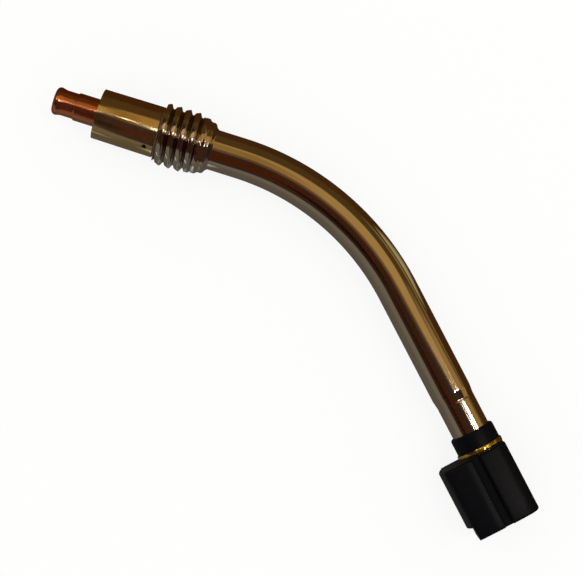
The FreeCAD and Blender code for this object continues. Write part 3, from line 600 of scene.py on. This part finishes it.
# The contact tip: turned from drawn copper rod, with a plain body, a slightly thinner waist and
# a flared lip round the wire's hole. Its threaded shank screws into the adaptor.
TIP_REAR = 38.1
WIRE_HOLE = 0.6
TIP_SKIN = ((47.6, 3.3), (48.1, 3.3), (48.1, 4.85), (48.25, 5.0), (60.1, 5.0), (60.3, 4.98),
            (60.55, 4.72), (60.8, 4.6), (61.0, 4.58), (64.6, 4.58), (65.3, 4.64), (66.0, 4.81),
            (66.5, 4.96), (66.75, 5.0), (67.0, 5.0), (67.2, 4.97), (67.5, 4.88), (67.85, 4.72),
            (68.1, 4.47), (68.3, 4.15), (68.45, 3.8), (68.5, 3.5), (68.5, 0.75),
            (68.35, WIRE_HOLE))
TIP_TOOTH = ((-0.55, 3.35), (-0.08, 3.95), (0.08, 3.95), (0.55, 3.35), (0.7, 3.35))
COPPER = "F0A178"
COPPER_DARK = "C47348"
copper = turned_metal("turned_copper", COPPER, COPPER_DARK, 0.16, 0.26, HEAD_ORIGIN, BEND_ANGLE)
tip, rear_ring, front_ring = threaded(
    TIP_TOOTH, first=36.0, pitch=1.25, turns=12, steps=SMALL_THREAD_STEPS, crest=3.95,
    start=TIP_REAR, start_radius=3.3, end=47.6, end_radius=3.3)
for along, radius in TIP_SKIN:
    front_ring = carry_ring(tip, front_ring, along, radius)
rear_ring = carry_ring(tip, rear_ring, TIP_REAR, WIRE_HOLE)
bmesh.ops.bridge_loops(tip, edges=rear_ring + front_ring)
bmesh.ops.remove_doubles(tip, verts=tip.verts, dist=0.0005)
bmesh.ops.recalc_face_normals(tip, faces=tip.faces)
make_piece(tip, "contact_tip_turned", "tip", copper, ["contact_tip"], HEAD_PLACE, 30.0)

# The collar: a moulded black ring pushed over the swaged tube, up against the brass ring. Its
# front edge is rounded, and its skin is a dull black with a fine moulded tooth.
COLLAR_PROFILE = ((28.5, 6.9), (34.7, 6.9), (34.7, 7.2), (34.62, 7.5), (34.42, 7.78),
                  (34.1, 7.96), (33.75, 8.05), (28.7, 8.05), (28.5, 7.9))
MOULDED_BLACK = "070A10"
MOULDED_BLACK_DEEP = "040507"
black = plain_solid("glass_filled_nylon", MOULDED_BLACK, MOULDED_BLACK_DEEP, 0.3, 0.45,
                    scale=1100.0, bump=0.3, shine=0.11)
make_piece(turned(COLLAR_PROFILE, 128), "collar_moulded", "neck", black, ["collar_ring"])

# The brass ring: turned bright, with a fine groove round its rim, and soldered to the tube as
# the front stop of the block.
RING_PROFILE = ((26.7, 6.85), (28.5, 6.85), (28.5, 8.28), (28.44, 8.42), (28.3, 8.5),
                (27.7, 8.5), (27.62, 8.44), (27.54, 8.5), (26.9, 8.5), (26.76, 8.42),
                (26.7, 8.28))
BRIGHT_BRASS = "F0E284"
BRIGHT_BRASS_DARK = "D8BE54"
bright_brass = turned_metal("turned_bright_brass", BRIGHT_BRASS, BRIGHT_BRASS_DARK, 0.1, 0.18)
make_piece(turned(RING_PROFILE, 144), "brass_ring_turned", "neck", bright_brass,
           ["brass_ring"])

# The locating block: black glass-filled nylon, moulded round the neck's rear end, with a bowed
# nose on the inner side of the bend, a flat back, and a groove above and below for the handle.
BLOCK_LENGTH = 26.7
BLOCK_BACK = -8.5
BLOCK_NOSE = 17.0
BLOCK_HALF = 11.6
CROWN_FLAT = (1.0, 8.0)
CROWN_FALL = 1.1
NOSE_FALL = 0.5
NOSE_ROUND = 31.0
NOSE_STEPS = 24
NOSE_CORNER = 1.4
BACK_CORNER = 4.5
END_ROUND = 0.9
NOTCH_LENGTH = 5.0
NOTCH_FACE = 15.0
NOTCH_WALL = 0.15
GROOVE_MIDDLE = 3.5
GROOVE_HALF = 1.6
GROOVE_DEPTH = 2.3
GROOVE_LIP = 0.28
PIN_HOLE_PLACE = 11.6
PIN_HOLE = 1.02
BLOCK_BORE = ((-1.0, 0.0), (-1.0, 7.3), (6.0, 7.3), (6.0, 5.05), (14.0, 5.05), (14.0, 5.85),
              (16.6, 5.85), (16.6, 6.9), (28.0, 6.9), (28.0, 0.0))
block = bmesh.new()
sweep = math.asin((BLOCK_HALF - NOSE_FALL) / NOSE_ROUND)
bow_middle = BLOCK_NOSE - NOSE_ROUND
low = block.verts.new((0, bow_middle + NOSE_ROUND * math.cos(sweep),
                       -NOSE_ROUND * math.sin(sweep)))
bow = bmesh.ops.spin(block, geom=[low], axis=(1, 0, 0), cent=(0, bow_middle, 0), angle=2 * sweep,
                     steps=NOSE_STEPS)
high = fresh(bow, bmesh.types.BMVert, "geom_last")[0]
flat_back = BLOCK_HALF - CROWN_FALL
crown_back, crown_front = CROWN_FLAT
corners = [high]
for across, height in ((crown_front, BLOCK_HALF), (crown_back, BLOCK_HALF),
                       (BLOCK_BACK, flat_back), (BLOCK_BACK, -flat_back),
                       (crown_back, -BLOCK_HALF), (crown_front, -BLOCK_HALF)):
    corners.append(block.verts.new((0, across, height)))
corners.append(low)
for pair in zip(corners, corners[1:]):
    block.edges.new(pair)
face = bmesh.ops.contextual_create(block, geom=block.edges[:])["faces"][0]
grown = bmesh.ops.extrude_face_region(block, geom=[face])
bmesh.ops.translate(block, verts=fresh(grown, bmesh.types.BMVert), vec=(BLOCK_LENGTH, 0, 0))
bmesh.ops.recalc_face_normals(block, faces=block.faces)
for side, size, segments in ((-1, BACK_CORNER, 10), (1, NOSE_CORNER, 6)):
    long = [edge for edge in block.edges if abs(edge.verts[0].co.x - edge.verts[1].co.x) > 1
            and edge.verts[0].co.y * side > 0 and edge.calc_face_angle() > 0.8]
    bmesh.ops.bevel(block, geom=long, offset=size, segments=segments, profile=0.5,
                    affect="EDGES", material=-1)
ends = [edge for edge in block.edges if abs(edge.verts[0].co.x - edge.verts[1].co.x) < 0.01
        and edge.calc_face_angle() > 1.2]
bmesh.ops.bevel(block, geom=ends, offset=END_ROUND, segments=5, profile=0.5, affect="EDGES",
                material=-1)
for place in (NOTCH_LENGTH, NOTCH_LENGTH - NOTCH_WALL):
    bmesh.ops.bisect_plane(block, geom=block.verts[:] + block.edges[:] + block.faces[:],
                           dist=0.0005, plane_co=(place, 0, 0), plane_no=(1, 0, 0))
for vert in block.verts:
    if vert.co.x < NOTCH_LENGTH - NOTCH_WALL / 2:
        vert.co.y = min(vert.co.y, NOTCH_FACE)
block = cut_away(block, turned(BLOCK_BORE, 96, closed=False))
for side in (1, -1):
    cutter = bmesh.new()
    floor_height = BLOCK_HALF - GROOVE_DEPTH
    outline = ((GROOVE_HALF - 0.25, floor_height), (GROOVE_HALF, floor_height + 0.25),
               (GROOVE_HALF, BLOCK_HALF - GROOVE_LIP), (GROOVE_HALF + 0.08, BLOCK_HALF - 0.1),
               (GROOVE_HALF + GROOVE_LIP, BLOCK_HALF + 0.02),
               (GROOVE_HALF + GROOVE_LIP, BLOCK_HALF + 2.0))
    points = [(GROOVE_MIDDLE + across, height) for across, height in outline]
    points += [(GROOVE_MIDDLE - across, height) for across, height in reversed(outline)]
    verts = [cutter.verts.new((-1.0, across, height * side)) for across, height in points]
    grown = bmesh.ops.extrude_face_region(cutter, geom=[cutter.faces.new(verts)])
    bmesh.ops.translate(cutter, verts=fresh(grown, bmesh.types.BMVert),
                        vec=(BLOCK_LENGTH + 2.0, 0, 0))
    bmesh.ops.recalc_face_normals(cutter, faces=cutter.faces)
    block = cut_away(block, cutter)
drill = bmesh.new()
stand = Matrix.Translation((PIN_HOLE_PLACE, -7.0, 0)) @ Matrix.Rotation(math.pi / 2, 4, "X")
bmesh.ops.create_cone(drill, cap_ends=True, segments=40, radius1=PIN_HOLE, radius2=PIN_HOLE,
                      depth=6.0, matrix=stand)
block = cut_away(block, drill)
make_piece(block, "locating_block_moulded", "neck", black, ["locating_block"])

# The rear plug: turned brass, held in the block's bore by its flange. The ring nut runs on the
# thread outside its rear end, and the torch cable screws into the tapped socket inside.
PLUG_SKIN = ((5.9, 4.5), (6.1, 4.95), (14.0, 4.95), (14.0, 5.8), (16.3, 5.8), (16.3, 5.4),
             (23.0, 5.4), (23.0, 4.5), (16.3, 4.5), (16.3, 2.65), (10.0, 2.65), (10.0, 3.35),
             (0.45, 3.35), (0.0, 3.8))
SOCKET_TOOTH = ((-0.55, 3.3), (-0.08, 3.9), (0.08, 3.9), (0.55, 3.3), (0.7, 3.3))
SOCKET_MOUTH = -0.5
SOCKET_DEPTH = 9.0
rear_brass = turned_metal("turned_plug_brass", BRASS, BRASS_DARK, 0.14, 0.24)
plug, rear_ring, front_ring = threaded(
    M10_TOOTH, first=-1.2, pitch=1.0, turns=9, steps=SMALL_THREAD_STEPS, crest=4.95, start=0.0,
    start_radius=4.5, end=5.9, end_radius=4.5)
for along, radius in PLUG_SKIN:
    front_ring = carry_ring(plug, front_ring, along, radius)
bmesh.ops.bridge_loops(plug, edges=rear_ring + front_ring)
bmesh.ops.remove_doubles(plug, verts=plug.verts, dist=0.0005)
bmesh.ops.recalc_face_normals(plug, faces=plug.faces)
tap, rear_ring, front_ring = threaded(
    SOCKET_TOOTH, first=-2.0, pitch=1.25, turns=10, steps=SMALL_THREAD_STEPS, crest=3.9,
    start=SOCKET_MOUTH, start_radius=3.3, end=SOCKET_DEPTH, end_radius=3.3)
carry_ring(tap, rear_ring, SOCKET_MOUTH, 0.0)
carry_ring(tap, front_ring, SOCKET_DEPTH, 0.0)
bmesh.ops.remove_doubles(tap, verts=tap.verts, dist=0.0005)
bmesh.ops.recalc_face_normals(tap, faces=tap.faces)
plug = cut_away(plug, tap)
make_piece(plug, "rear_plug_turned", "neck", rear_brass, ["rear_plug"], None,
           30.0)

# The ring nut: turned brass with four slots for a spanner. It clamps the block on the plug.
NUT_PROFILE = ((1.04, 5.2), (1.04, 6.6), (1.44, 7.0), (5.04, 7.0), (5.44, 6.6), (5.44, 5.2),
               (5.3, 5.06), (1.18, 5.06))
NUT_SLOTS = 4
NUT_SLOT = (8.0, 2.0, 3.0)
NUT_SLOT_FLOOR = 5.9
nut = turned(NUT_PROFILE, 96)
slots = bmesh.new()
for number in range(NUT_SLOTS):
    spoke = Matrix.Rotation(math.tau * number / NUT_SLOTS, 4, "X")
    stand = spoke @ Matrix.Translation((3.0, 0, NUT_SLOT_FLOOR + NUT_SLOT[2] / 2))
    bmesh.ops.create_cube(slots, size=1.0, matrix=stand @ Matrix.Diagonal(NUT_SLOT + (1.0,)))
nut = cut_away(nut, slots)
make_piece(nut, "ring_nut_slotted", "nut", rear_brass, ["ring_nut"], None, 30.0)

# The spring washer: a split ring of hardened steel wire, pressed flat under the nut.
SPRING_PROFILE = ((5.5, 5.3), (5.5, 6.75), (5.6, 6.9), (5.9, 6.9), (6.0, 6.75), (6.0, 5.3),
                  (5.9, 5.15), (5.6, 5.15))
SPRING_MIDDLE = (5.75, 0, 6.0)
SPRING_GAP = 0.8
SPRING_GAP_TURN = math.radians(40)
STEEL = "B8B6B2"
STEEL_DARK = "86847F"
steel = turned_metal("hardened_steel", STEEL, STEEL_DARK, 0.25, 0.4)
spring = turned(SPRING_PROFILE, 96)
saw = bmesh.new()
stand = Matrix.Translation(SPRING_MIDDLE) @ Matrix.Rotation(SPRING_GAP_TURN, 4, "Z")
bmesh.ops.create_cube(saw, size=1.0, matrix=stand @ Matrix.Diagonal((4.0, SPRING_GAP, 4.0, 1.0)))
spring = cut_away(spring, saw)
make_piece(spring, "spring_washer_split", "neck", steel, ["spring_washer"],
           None, 30.0)

# The key pin: a ground steel dowel pressed through the block's back into the plug.
PIN_PROFILE = ((3.9, 0.0), (3.9, 0.75), (4.15, 1.0), (7.95, 1.0), (8.13, 0.94), (8.2, 0.8),
               (8.2, 0.0))
pin_turn = Matrix.Rotation(-math.pi / 2, 4, "Z")
pin_place = Matrix.Translation((PIN_HOLE_PLACE / 1000, 0, 0)) @ pin_turn
make_piece(turned(PIN_PROFILE, 40, closed=False), "key_pin_ground", "neck", steel, ["key_pin"],
           pin_place, 30.0)

# Inside the neck: the live brass head and the drawn copper tube that carries the current, PTFE
# and fibre that keep them off the jacket, and the steel liner with its two brass ends.
PTFE = "ECECE8"
PTFE_DARK = "DEDED8"
white_ptfe = plain_solid("white_ptfe", PTFE, PTFE_DARK, 0.35, 0.5, scale=700.0, bump=0.15)
INSIDE = (("inner_head", satin_brass), ("liner_nose", satin_brass), ("liner_nipple", rear_brass),
          ("conductor_tube", copper), ("wire_liner", steel), ("head_insulator", fibre),
          ("jacket_insulation", white_ptfe), ("rear_insulator", white_ptfe))
for node, material in INSIDE:
    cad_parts[node].data.materials[0] = material
